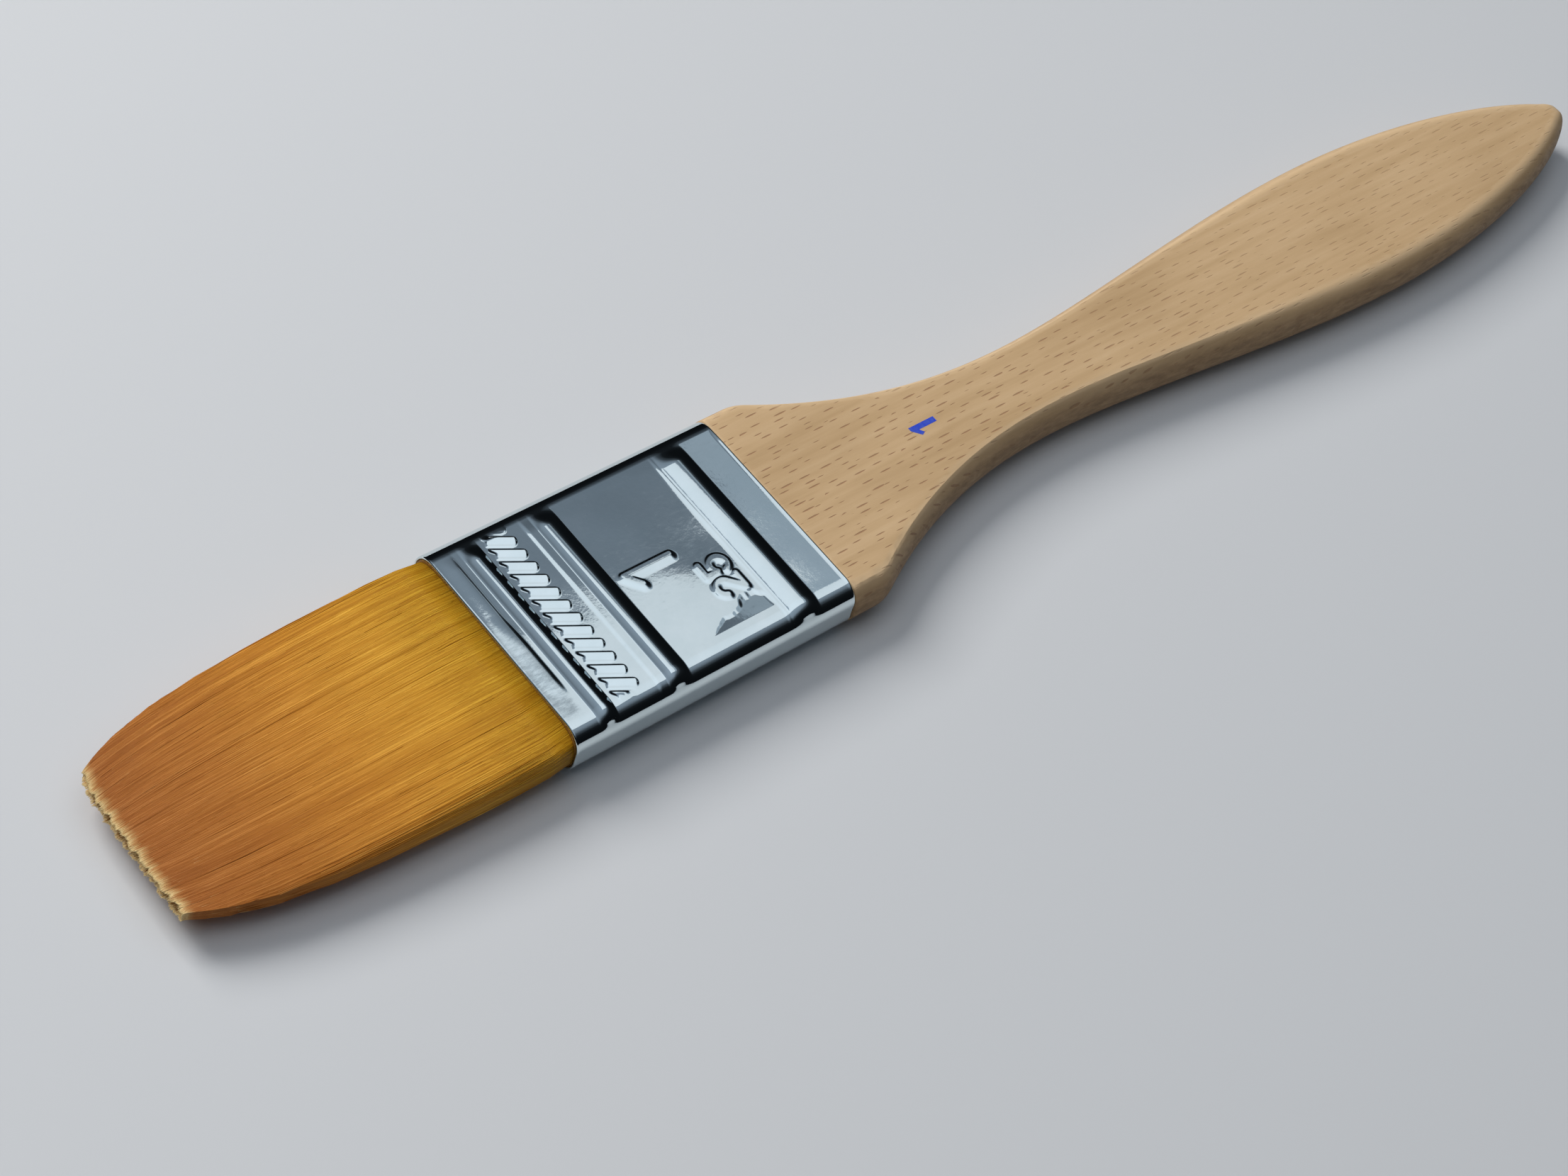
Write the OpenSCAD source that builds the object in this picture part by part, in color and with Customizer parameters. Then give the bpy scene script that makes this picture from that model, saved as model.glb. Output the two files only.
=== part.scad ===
// Flat varnish brush, about 25 mm wide: a flat beech handle, a beaded tinplate ferrule and a
// tapered filament tuft that is set in resin inside the ferrule.
//
// The brush lies flat. +X runs from the tuft's tip to the handle's tail, +Y across the width
// and +Z up. The origin is under the middle of the brush, on the surface that it lies on.
// The pieces are drawn round the brush's own centre line, with x = 0 at the ferrule's mouth,
// and place() moves them to that origin.

/* [Tuft] */
// Free length of the filaments, from the ferrule's mouth to the tip
tuft_length = 39.9; // [25:0.1:60]
// Thickness of the tuft at its tip
tuft_tip_thickness = 1.3; // [0.8:0.1:2.5]
// How much narrower each side gets along the whole tuft
tuft_side_taper = 1.3; // [0:0.1:3]
// How much more each side comes in at the rounded tip corners
tuft_corner_taper = 3.2; // [0:0.1:5]
// How far the free filaments spread past the inside of the ferrule, on each side
tuft_spread = 0.3; // [0:0.05:0.5]
// Length of filament that is held inside the ferrule
root_depth = 15; // [8:0.5:16]
// Length of the resin that joins the filament ends
resin_length = 2; // [1:0.1:4]

/* [Ferrule] */
// Width of the ferrule over its narrow sides
ferrule_width = 26; // [20:0.5:40]
// Thickness of the ferrule between its flat faces
ferrule_thickness = 6.1; // [5.6:0.1:9]
// Radius of the ferrule's long corners
ferrule_corner = 2.3; // [1.5:0.1:2.6]
// Thickness of the tinplate sheet
sheet = 0.3; // [0.2:0.05:0.4]
// How far the sheet's lap stops short of each rim
lap_setback = 1.2; // [0.5:0.1:3]

/* [Bands of the ferrule, from its mouth] */
// Flat lip between the mouth and the front bead
mouth_lip = 2.2; // [1:0.1:4]
// Width of the front bead
front_bead = 3; // [2:0.1:4]
// Gap between the front bead and the ribs
rib_gap = 0.2; // [0.1:0.05:1]
// Length of the band of ribs
rib_band = 3.9; // [3:0.1:6]
// Flat strip between the ribs and the middle bead
strip_width = 1.3; // [0.5:0.1:3]
// Width of the middle bead
middle_bead = 3.5; // [2:0.1:5]
// Width of the rear bead
rear_bead = 3.9; // [2:0.1:5]
// Flat panel between the rear bead and the rear rim
rear_panel = 4.3; // [2:0.1:8]
// Height of the beads over the flat face
bead_height = 0.45; // [0.3:0.05:0.8]

/* [Ribs] */
// Distance from one rib to the next, across the brush
rib_pitch = 1.75; // [1.2:0.05:1.8]
// Angle of the ribs to the brush's length
rib_slant = 29; // [10:1:40]
// Clear distance between neighbouring ribs
rib_space = 0.1; // [0.05:0.05:0.3]
// Height of the ribs over the flat face
rib_height = 0.35; // [0.2:0.05:0.5]
// How far the band of ribs reaches into each long corner
rib_overrun = 0.6; // [0:0.1:0.8]

/* [Raised size numbers on the middle panel] */
// Height of the large number
large_number = 6.3; // [4:0.1:8]
// Height of the small number
small_number = 3.4; // [2:0.1:5]
// Bare margin in front of, between and behind the numbers
number_margin = 0.9; // [0.5:0.1:2]
// Stroke width of the numbers
number_stroke = 0.7; // [0.4:0.05:0.9]
// Height of the numbers over the flat face
number_relief = 0.2; // [0.1:0.05:0.4]
// How far the small number sits from the centre line
small_number_offset = 4.4; // [0:0.1:6]

/* [Handle] */
// Length of the handle behind the ferrule
handle_length = 123.4; // [90:0.1:160]
// Thickness of the wood
handle_thickness = 5.8; // [5:0.1:8]
// How far the wood's edges bulge past its flat faces, up to the neck
neck_bulge = 1.35; // [0.5:0.05:2.5]
// The same in the grip and the tail, where the edges are sanded rounder
grip_bulge = 2.2; // [0.5:0.05:3]
// Length of the straight shoulder behind the ferrule
shoulder_length = 4.4; // [3:0.1:12]
// Distance from the ferrule to the neck, the narrowest place
neck_position = 35.5; // [25:0.5:45]
// Width at the neck
neck_width = 10.9; // [8:0.1:14]
// Distance from the ferrule to the widest place of the grip
grip_position = 86; // [60:0.5:88]
// Width of the grip at its widest
grip_width = 18.6; // [14:0.1:24]
// Width of the blunt point at the tail
tail_width = 1.2; // [0.8:0.1:3]
// Length over which the faces round down to the very tail
tail_rounding = 2.5; // [1:0.1:4]

/* [Fits] */
// Clearance between the filament roots or the resin and the ferrule
root_clearance = 0.03; // [0.01:0.01:0.08]
// Thickness of the glue round the tang and in front of it
glue_film = 0.12; // [0.08:0.01:0.25]
// Clearance between the bending tuft and the ferrule's mouth
mouth_clearance = 0.35; // [0.2:0.05:0.6]

/* [Hidden] */
$fn = 48;

// How far added relief reaches into the sheet that carries it
overlap = sheet / 2;
// Steps of each rounded corner in a lofted section
corner_steps = 5;
// Powers of the curves of the shoulder, the grip and the tail
shoulder_power = 2.25;
grip_power = 0.9;
tail_power = 0.7;
// Blend between the straight shoulder and its curve
shoulder_blend = 0.6;
// Steps round each edge of the wood, and its share of a full round at the neck and in the grip
edge_steps = 12;
neck_softness = 0.1;
grip_softness = 0.95;
// Where between the neck and the grip the edges start and end that change
softening_start = 0.3;
softening_end = 0.9;
// Largest share of the half width that an edge's bulge takes, and of the half thickness that
// the faces lose at the very tail
bulge_share = 0.8;
tail_share = 0.85;
// Power of the tuft's thickness towards its tip
thickness_power = 1.5;
// Steps of the tuft's length, and angles of the sections round its bend line
tuft_steps = 16;
bend_angles = [0 : 14 : 84];
// Share of the tuft's half thickness that is rounded at its sides
tuft_rounding = 0.8;

// Places of the bands along the ferrule
front_bead_x = mouth_lip;
rib_x = front_bead_x + front_bead + rib_gap;
middle_bead_x = rib_x + rib_band + strip_width;
panel_x = middle_bead_x + middle_bead;
panel_length = 3 * number_margin + large_number + small_number;
rear_bead_x = panel_x + panel_length;
ferrule_length = rear_bead_x + rear_bead + rear_panel;

// Inside of the ferrule, between its flat walls
inside_width = ferrule_width - 2 * sheet;
inside_thickness = ferrule_thickness - 2 * sheet;
inside_corner = ferrule_corner - sheet;
// Width of a face between its rounded corners
face_width = ferrule_width - 2 * ferrule_corner;
// Ribs on each face, in pairs about the centre line, so that they fill the face
rib_reach = face_width / 2 + rib_overrun;
rib_count = 2 * ceil(rib_reach / rib_pitch);

resin_x = root_depth;
glue_x = resin_x + resin_length;
tang_x = glue_x + glue_film;

// The tuft bends about a line in front of the mouth, and its end is round about that line
tuft_root_thickness = inside_thickness - 2 * root_clearance;
bend_radius = tuft_root_thickness / 2;
bend_x = -mouth_clearance - bend_radius;
tuft_half_width = inside_width / 2 - root_clearance + tuft_spread;

// The wood stands out as far as the sheet's lap does
shoulder_half_width = ferrule_width / 2 + sheet;

brush_length = tuft_length + ferrule_length + handle_length;
centre_height = ferrule_thickness / 2 + bead_height;

module place() {
    translate([tuft_length - brush_length / 2, 0, centre_height]) children();
}

// Rounded rectangle, centred
module rounded_rect(w, t, r) {
    square([w - 2 * r, t], center = true);
    square([w, t - 2 * r], center = true);
    for (y = [-1, 1], z = [-1, 1])
        translate([y * (w / 2 - r), z * (t / 2 - r)]) circle(r);
}

// Bar of rounded rectangular section from x0 to x1 along the centre line
module bar(x0, x1, w, t, r) {
    translate([x0, 0, 0]) rotate([90, 0, 90]) linear_extrude(x1 - x0) rounded_rect(w, t, r);
}

// Radius of the arc that spans a ridge of a given width and height
function arc_radius(w, h) = (w * w / 4 + h * h) / (2 * h);

// Pressed ridge along Y on the plane z = 0: an arc in section, sloped at its ends.
// inset shrinks it to the hollow on the sheet's other side, and depth is how far it goes down.
module ridge(len, w, h, inset, depth) {
    r = arc_radius(w, h);
    half = len / 2 - inset;
    intersection() {
        translate([0, 0, h - r]) rotate([90, 0, 0]) cylinder(r = r - inset, h = len, center = true);
        translate([-w / 2, 0, 0]) rotate([90, 0, 90]) linear_extrude(w) polygon([
            [-half, -depth], [half, -depth], [half, -inset], [half - h, h - inset],
            [-half + h, h - inset], [-half, -inset]]);
    }
}

// All beads and ribs of one face, on the plane z = 0
module face_ridges(inset, depth) {
    for (bead = [[front_bead_x, front_bead], [middle_bead_x, middle_bead], [rear_bead_x, rear_bead]])
        translate([bead[0] + bead[1] / 2, 0, 0]) ridge(face_width, bead[1], bead_height, inset, depth);
    rib_width = rib_pitch * cos(rib_slant) - rib_space;
    rib_length = rib_band / cos(rib_slant) - rib_width * tan(rib_slant);
    reach = rib_reach - inset;
    intersection() {
        for (i = [0 : rib_count - 1])
            translate([rib_x + rib_band / 2, (i - (rib_count - 1) / 2) * rib_pitch, 0])
                rotate([0, 0, 90 - rib_slant]) ridge(rib_length, rib_width, rib_height, inset, depth);
        translate([rib_x, -reach, -depth]) cube([rib_band, 2 * reach, depth + rib_height]);
    }
}

module ferrule_ridges(inset, depth) {
    for (side = [0, 1])
        mirror([0, 0, side]) translate([0, 0, ferrule_thickness / 2]) face_ridges(inset, depth);
}

// Part of a ring between two angles, for the bowls of the numbers
module arc_stroke(r, from, to) {
    reach = 2 * r;
    intersection() {
        difference() {
            circle(r);
            circle(r - number_stroke);
        }
        polygon(concat([[0, 0]],
            [for (i = [0 : 4]) let (a = from + (to - from) * i / 4) [reach * cos(a), reach * sin(a)]]));
    }
}

// Straight stroke between two points, widened to the number's stroke
module line_stroke(a, b) {
    d = b - a;
    translate(a) rotate(atan2(d[1], d[0]))
        translate([0, -number_stroke / 2]) square([norm(d), number_stroke]);
}

module number_one(h) {
    s = number_stroke / 2;
    line_stroke([0, 0], [0, h]);
    line_stroke([-0.28 * h, 0.72 * h], [s, h - s]);
}

module number_two(h) {
    s = number_stroke / 2;
    r = 0.3 * h;
    translate([0, h - r]) arc_stroke(r, -40, 170);
    line_stroke([(r - s) * cos(-40), h - r + (r - s) * sin(-40)], [-r + s, s]);
    line_stroke([-r, s], [r, s]);
}

module number_five(h) {
    s = number_stroke / 2;
    r = 0.32 * h;
    translate([0, r]) arc_stroke(r, -150, 130);
    line_stroke([-0.26 * h, h - s], [0.28 * h, h - s]);
    line_stroke([-0.26 * h, h], [-0.26 * h, 1.55 * r]);
}

// Raised numbers, read from the -Y side to the +Y side with their tops towards the tuft
module size_numbers() {
    small_width = 0.75 * small_number;
    translate([0, 0, ferrule_thickness / 2 - overlap]) linear_extrude(overlap + number_relief) {
        translate([panel_x + number_margin + large_number, 0]) rotate(90) number_one(large_number);
        translate([rear_bead_x - number_margin, -small_number_offset - small_width / 2])
            rotate(90) number_two(small_number);
        translate([rear_bead_x - number_margin, -small_number_offset + small_width / 2])
            rotate(90) number_five(small_number);
    }
}

// The sheet's outer end lies over its inner end along one narrow side
module lap_seam() {
    height = ferrule_thickness - 2 * ferrule_corner;
    translate([lap_setback, ferrule_width / 2 - overlap, -height / 2])
        cube([ferrule_length - 2 * lap_setback, sheet + overlap, height]);
}

module ferrule() {
    color([0.72, 0.75, 0.79]) place() difference() {
        union() {
            bar(0, ferrule_length, ferrule_width, ferrule_thickness, ferrule_corner);
            ferrule_ridges(0, overlap);
            size_numbers();
            lap_seam();
        }
        bar(-1, ferrule_length + 1, inside_width, inside_thickness, inside_corner);
        ferrule_ridges(sheet, sheet + overlap);
    }
}

// Points of one section of the tuft at x: half width w, half thickness t, corner radius r
function tuft_section(x, w, t, r) = [
    for (q = [[1, 1, 0], [-1, 1, 90], [-1, -1, 180], [1, -1, 270]], i = [0 : corner_steps])
        let (a = q[2] + 90 * i / corner_steps)
            [x, q[0] * (w - r) + r * cos(a), q[1] * (t - r) + r * sin(a)]];

// Points of one section of the wood at x: flat faces, and edges that bulge out by b between them.
// soft is 0 for a shallow bow with a crisp edge at each face, and 1 for a full round.
function wood_section(x, w, t, b, soft) = [
    for (side = [1, -1], i = [0 : edge_steps])
        let (a = 180 * i / edge_steps - 90, bow = (1 - soft) * pow(cos(a), 2) + soft * cos(a))
            [x, side * (w - b + b * bow), side * t * sin(a)]];

// Solid through a row of sections
module loft(sections) {
    n = len(sections[0]);
    last = (len(sections) - 1) * n;
    polyhedron(
        points = [for (s = sections) each s],
        faces = concat(
            [[for (j = [0 : n - 1]) j]],
            [for (i = [0 : len(sections) - 2], j = [0 : n - 1]) let (k = (j + 1) % n)
                [i * n + j, (i + 1) * n + j, (i + 1) * n + k]],
            [for (i = [0 : len(sections) - 2], j = [0 : n - 1]) let (k = (j + 1) % n)
                [i * n + j, (i + 1) * n + k, i * n + k]],
            [[for (j = [n - 1 : -1 : 0]) last + j]]));
}

// Smaller of two values, with the corner between them rounded over k
function smooth_min(a, b, k) = min(a, b) - pow(max(k - abs(a - b), 0), 2) / (4 * k);

// Slow start and slow end between 0 and 1
function smooth_step(t) = let (u = min(max(t, 0), 1)) u * u * (3 - 2 * u);

// Half width of the wood at a distance behind the ferrule: shoulder and neck, grip, tail
function shoulder_curve(x) = neck_width / 2 + (shoulder_half_width - neck_width / 2)
    * pow((neck_position - x) / (neck_position - shoulder_length), shoulder_power);
function grip_curve(t) =
    (neck_width + (grip_width - neck_width) * smooth_step(pow(t, grip_power))) / 2;
function tail_curve(t) = (tail_width + (grip_width - tail_width) * pow(1 - t * t, tail_power)) / 2;
function handle_half_width(x) =
    x < neck_position ? smooth_min(shoulder_half_width, shoulder_curve(x), shoulder_blend)
    : x < grip_position ? grip_curve((x - neck_position) / (grip_position - neck_position))
    : tail_curve(min((x - grip_position) / (handle_length - grip_position), 1));

// The faces of the wood round down at the very tail
function handle_half_thickness(x) =
    let (k = max(0, 1 - (handle_length - x) / tail_rounding))
        handle_thickness / 2 * (1 - tail_share * (1 - sqrt(1 - k * k)));

// How far the edges have changed from the neck's to the grip's, from 0 to 1
function edge_change(x) =
    let (t = (x - neck_position) / (grip_position - neck_position))
        smooth_step((t - softening_start) / (softening_end - softening_start));

// Places of the handle's sections, closer together at the shoulder and at the tail
shoulder_steps = 16;
grip_steps = 10;
tail_steps = 13;
shoulder_crowding = 1.3;
handle_stations = concat(
    [for (i = [0 : shoulder_steps]) neck_position * pow(i / shoulder_steps, shoulder_crowding)],
    [for (i = [1 : grip_steps]) neck_position + (grip_position - neck_position) * i / grip_steps],
    [for (i = [1 : tail_steps])
        grip_position + (handle_length - grip_position) * sin(90 * i / tail_steps)]);

module handle() {
    tang_width = inside_width - 2 * glue_film;
    tang_thickness = inside_thickness - 2 * glue_film;
    color([0.82, 0.66, 0.48]) place() union() {
        bar(tang_x, ferrule_length + 1, tang_width, tang_thickness, inside_corner - glue_film);
        translate([ferrule_length, 0, 0]) loft([for (x = handle_stations)
            let (w = handle_half_width(x), c = edge_change(x),
                b = neck_bulge + (grip_bulge - neck_bulge) * c,
                soft = neck_softness + (grip_softness - neck_softness) * c)
                wood_section(x, w, handle_half_thickness(x), min(b, bulge_share * w), soft)]);
    }
}

// Half width and half thickness of the tuft at a distance from the ferrule's mouth
function tuft_width_at(s) = let (u = max(s, 0) / tuft_length)
    tuft_half_width - tuft_side_taper * pow(u, 2) - tuft_corner_taper * pow(u, 6);
function tuft_thickness_at(s) = let (u = max(s, 0) / tuft_length)
    (tuft_root_thickness - (tuft_root_thickness - tuft_tip_thickness) * pow(u, thickness_power)) / 2;

// The free filaments as one solid. Up to the bend line its end is an arc about that line.
module filament_tuft() {
    reach = tuft_length + bend_x;
    flat_start = tuft_thickness_at(-bend_x);
    color([0.80, 0.52, 0.16]) place() loft(concat(
        [for (i = [tuft_steps : -1 : 1]) let (s = -bend_x + reach * sin(90 * i / tuft_steps),
            w = tuft_width_at(s), t = tuft_thickness_at(s)) tuft_section(-s, w, t, tuft_rounding * t)],
        [for (a = bend_angles) let (t = flat_start * cos(a))
            tuft_section(bend_x + flat_start * sin(a), tuft_half_width, t, tuft_rounding * t)]));
}

// The same filaments where the ferrule holds them
module filament_root() {
    color([0.70, 0.44, 0.14]) place() bar(0, resin_x, inside_width - 2 * root_clearance,
        inside_thickness - 2 * root_clearance, inside_corner - root_clearance);
}

// Hard resin that the filament ends are set in
module root_resin() {
    color([0.85, 0.74, 0.45]) place() bar(resin_x, glue_x, inside_width - 2 * root_clearance,
        inside_thickness - 2 * root_clearance, inside_corner - root_clearance);
}

// Glue round the tang and between its end and the resin
module tang_glue() {
    color([0.93, 0.90, 0.80]) place() difference() {
        bar(glue_x, ferrule_length, inside_width, inside_thickness, inside_corner);
        bar(tang_x, ferrule_length + 1, inside_width - 2 * glue_film,
            inside_thickness - 2 * glue_film, inside_corner - glue_film);
    }
}

handle();
ferrule();
filament_root();
filament_tuft();
root_resin();
tang_glue();
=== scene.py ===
# %% [markdown]
# # A flat varnish brush, 25 mm wide
# The brush lies on a pale table: a waisted beech handle, a pressed tinplate ferrule with beads
# and slanted ribs, and a golden synthetic tuft that darkens to red-brown before its pale tips.
# The CAD model sets every size and place. This file builds the parts that are seen around it.

# %% Load the CAD frame
import math

import bpy
import numpy as np
from mathutils import Euler, Matrix, Vector


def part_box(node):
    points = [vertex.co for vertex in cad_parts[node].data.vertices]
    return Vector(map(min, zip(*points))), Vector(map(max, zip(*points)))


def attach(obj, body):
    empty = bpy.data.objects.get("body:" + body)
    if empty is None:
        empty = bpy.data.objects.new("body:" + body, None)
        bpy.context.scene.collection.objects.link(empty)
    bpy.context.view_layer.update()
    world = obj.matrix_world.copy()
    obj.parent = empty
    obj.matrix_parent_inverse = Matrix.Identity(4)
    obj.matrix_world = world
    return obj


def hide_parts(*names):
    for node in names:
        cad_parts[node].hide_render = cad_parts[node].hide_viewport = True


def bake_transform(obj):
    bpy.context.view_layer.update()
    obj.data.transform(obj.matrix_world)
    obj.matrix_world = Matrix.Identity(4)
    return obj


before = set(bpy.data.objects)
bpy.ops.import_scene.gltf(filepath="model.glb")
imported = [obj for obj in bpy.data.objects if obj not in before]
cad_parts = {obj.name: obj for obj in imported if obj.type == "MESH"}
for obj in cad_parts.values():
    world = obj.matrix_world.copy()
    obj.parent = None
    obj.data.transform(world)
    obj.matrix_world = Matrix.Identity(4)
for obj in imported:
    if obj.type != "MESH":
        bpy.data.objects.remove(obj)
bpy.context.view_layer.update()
MM = 0.001

# %% [markdown]
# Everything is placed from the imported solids. The ferrule's mouth, where the filaments come
# out, is the best zero for the tuft and the pressed bands, and its rear rim is the zero for
# the wood. The middle of the brush's thickness is the plane that all of it is built round. In
# what follows the near side is the side of -Y, where the camera stands, and the far side is +Y.

# %% Places that the pieces share
mouth_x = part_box("ferrule")[0][0]
rear_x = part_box("ferrule")[1][0]
tail_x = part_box("handle")[1][0]
tip_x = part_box("filament_tuft")[0][0]
middle_z = (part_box("ferrule")[0][2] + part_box("ferrule")[1][2]) / 2

ferrule_length = rear_x - mouth_x
handle_length = tail_x - rear_x
tuft_length = mouth_x - tip_x

ferrule_half_width = 13.0 * MM
ferrule_half_thickness = 3.05 * MM
ferrule_corner = 2.3 * MM
sheet = 0.3 * MM
print("mouth, rear, tail in mm:", [round(v / MM, 1) for v in (mouth_x, rear_x, tail_x)])

# %% [markdown]
# The camera stands in front of the tuft's side and looks down along the handle. A long lens
# keeps the handle from shrinking too fast towards its tail.

# %% Camera
camera_place = Vector((-0.20183, -0.12875, 0.25623))
camera_angles = (38.2105, -12.5769, -39.4851)

camera = bpy.data.objects.new("camera", bpy.data.cameras.new("camera"))
camera.data.lens = 77.06
camera.data.sensor_width = 36
camera.data.clip_start = 0.01
turn = Euler([math.radians(angle) for angle in camera_angles]).to_matrix()
camera.matrix_world = Matrix.Translation(camera_place) @ turn.to_4x4()
bpy.context.collection.objects.link(camera)
bpy.context.scene.camera = camera
print("camera is", round(camera_place.length, 3), "m from the origin")

# %% [markdown]
# A bright metal sleeve shows the room rather than itself. A wide soft box overhead gives the
# white reflections, and it ends just where the flat panels look, so that they are half bright
# and half grey. A dimmer card carries on from its edge over the rear of the ferrule. The room is
# dark near the horizon, which makes the rear slope of every bead black. Two more soft boxes, one
# behind the brush and one in front of the tuft, fill the wood and the filaments with light.

# %% Studio
def soft_box(name, place, aim, size, radiance):
    lamp = bpy.data.lights.new(name, "AREA")
    lamp.shape = "RECTANGLE"
    lamp.size, lamp.size_y = size
    lamp.energy = radiance * math.pi * size[0] * size[1]
    box = bpy.data.objects.new(name, lamp)
    box.location = place
    box.rotation_euler = (Vector(aim) - Vector(place)).to_track_quat("-Z", "Y").to_euler()
    bpy.context.collection.objects.link(box)
    return box


overhead_height = 0.5
overhead_x = (-0.06, 0.311)
overhead_y = (-0.137, 0.252)
card_x = (overhead_x[1], 0.42)
card_y = (overhead_y[0], 0.32)


def ceiling_box(name, span_x, span_y, radiance):
    """A soft box that hangs level at overhead_height and shines straight down."""
    middle = (sum(span_x) / 2, sum(span_y) / 2)
    size = (span_x[1] - span_x[0], span_y[1] - span_y[0])
    box = soft_box(name, (*middle, overhead_height), (*middle, 0), size, radiance)
    box.rotation_euler = (0, 0, 0)
    return box


ceiling_box("overhead_box", overhead_x, overhead_y, radiance=0.57)
grey_card = ceiling_box("grey_card", card_x, card_y, radiance=0.21)
grey_card.data.color = (0.86, 1.0, 1.12)
brush_middle = (0, 0, 0)
side_box = soft_box("side_box", (-0.20, 0.68, 0.62), brush_middle, size=(0.5, 0.5), radiance=10.3)
front_box = soft_box("front_box", (-0.45, 0.05, 0.65), brush_middle, size=(0.4, 0.4), radiance=1.5)

# %% The room: grey above, dark near the horizon
world = bpy.data.worlds.new("studio_room")
bpy.context.scene.world = world
world.use_nodes = True
room = world.node_tree.nodes
room_links = world.node_tree.links
direction = room.new("ShaderNodeTexCoord")
split = room.new("ShaderNodeSeparateXYZ")
heights = room.new("ShaderNodeValToRGB")
room_links.new(direction.outputs["Generated"], split.inputs[0])
room_links.new(split.outputs["Z"], heights.inputs[0])
room_links.new(heights.outputs["Color"], room["Background"].inputs["Color"])
room_stops = [(0.0, 0.004), (0.42, 0.006), (0.56, 0.012), (0.68, 0.07), (0.80, 0.27), (1.0, 0.40)]
for place, _ in room_stops[1:-1]:
    heights.color_ramp.elements.new(place)
for stop, (place, grey) in zip(heights.color_ramp.elements, room_stops):
    stop.position = place
    stop.color = (grey * 0.85, grey, grey * 1.2, 1)
bpy.context.scene.view_settings.view_transform = "Standard"

# %% [markdown]
# Each piece is a skin over rings of points. One ring is one cross-section, and a skin joins
# ring to ring with four-sided faces and closes both ends. Numpy lays out the points, and the
# mesh takes them in one go, which is far quicker than adding faces one by one.

# %% Helpers for meshes
def skin_faces(ring_count, ring_points, capped=True):
    """Faces that join one ring to the next, and caps on the first and last ring.

    They face outwards where the rings follow each other towards +X and each goes round from
    +Y to +Z, or where both are the other way.
    """
    i, j = np.meshgrid(np.arange(ring_count - 1), np.arange(ring_points), indexing="ij")
    k = (j + 1) % ring_points
    quads = np.stack([i * ring_points + j, i * ring_points + k,
                      (i + 1) * ring_points + k, (i + 1) * ring_points + j], axis=-1)
    faces = quads.reshape(-1, 4).tolist()
    if capped:
        last = (ring_count - 1) * ring_points
        faces.append(list(range(ring_points))[::-1])
        faces.append(list(range(last, last + ring_points)))
    return faces


def at_place(x, section):
    """Points (x, y, z) of a section (y, z) that stands at x."""
    return np.column_stack([np.full(len(section), x), section])


def make_piece(name, points, faces, material, smooth=True):
    mesh = bpy.data.meshes.new(name)
    mesh.from_pydata(np.asarray(points).reshape(-1, 3).tolist(), [], faces)
    mesh.update()
    mesh.materials.append(material)
    mesh.polygons.foreach_set("use_smooth", [smooth] * len(mesh.polygons))
    piece = bpy.data.objects.new(name, mesh)
    bpy.context.collection.objects.link(piece)
    print(name, "has", len(mesh.polygons), "faces")
    return piece


def point_values(piece, name, values):
    layer = piece.data.attributes.new(name, "FLOAT", "POINT")
    layer.data.foreach_set("value", np.asarray(values, np.float32).ravel())


def smooth_step(t):
    t = np.clip(t, 0, 1)
    return t * t * (3 - 2 * t)


print("a skin over 3 rings of 4 points has", len(skin_faces(3, 4)), "faces")

# %% [markdown]
# Materials are small node trees. One helper makes the tree and its main shader, and the others
# add to it, for instance a noise in stretched coordinates or a mix of two colours. Values that
# are the same all over a surface stay on the shader's own sockets.

# %% Helpers for materials
def new_finish(name, **sockets):
    finish = bpy.data.materials.new(name)
    finish.use_nodes = True
    shader = finish.node_tree.nodes["Principled BSDF"]
    for socket, value in sockets.items():
        shader.inputs[socket.replace("_", " ")].default_value = value
    return finish, finish.node_tree.nodes, finish.node_tree.links, shader


def stretched(nodes, links, scale, turn=(0, 0, 0)):
    place = nodes.new("ShaderNodeTexCoord")
    stretch = nodes.new("ShaderNodeMapping")
    stretch.inputs["Scale"].default_value = scale
    stretch.inputs["Rotation"].default_value = turn
    links.new(place.outputs["Object"], stretch.inputs["Vector"])
    return stretch.outputs["Vector"]


def noise(nodes, links, scale, detail, roughness, turn=(0, 0, 0)):
    """A noise with its own scale, in waves to the metre, along each axis."""
    place = stretched(nodes, links, scale, turn)
    cloud = nodes.new("ShaderNodeTexNoise")
    cloud.inputs["Scale"].default_value = 1.0
    cloud.inputs["Detail"].default_value = detail
    cloud.inputs["Roughness"].default_value = roughness
    links.new(place, cloud.inputs["Vector"])
    return cloud.outputs["Fac"]


def ramp(nodes, links, source, stops):
    """Colour ramp from (place, colour or grey) stops."""
    node = nodes.new("ShaderNodeValToRGB")
    for place, colour in stops[1:-1]:
        node.color_ramp.elements.new(place)
    for stop, (place, colour) in zip(node.color_ramp.elements, stops):
        stop.position = place
        stop.color = (*colour, 1) if isinstance(colour, tuple) else (colour, colour, colour, 1)
    links.new(source, node.inputs["Fac"])
    return node.outputs["Color"]


def mix(nodes, links, share, first, second, kind="MIX"):
    node = nodes.new("ShaderNodeMix")
    node.data_type = "RGBA"
    node.blend_type = kind
    sockets = (node.inputs[0], node.inputs[6], node.inputs[7])
    for socket, value in zip(sockets, (share, first, second)):
        if isinstance(value, bpy.types.NodeSocket):
            links.new(value, socket)
        else:
            socket.default_value = (*value, 1) if isinstance(value, tuple) else value
    return node.outputs[2]


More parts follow.
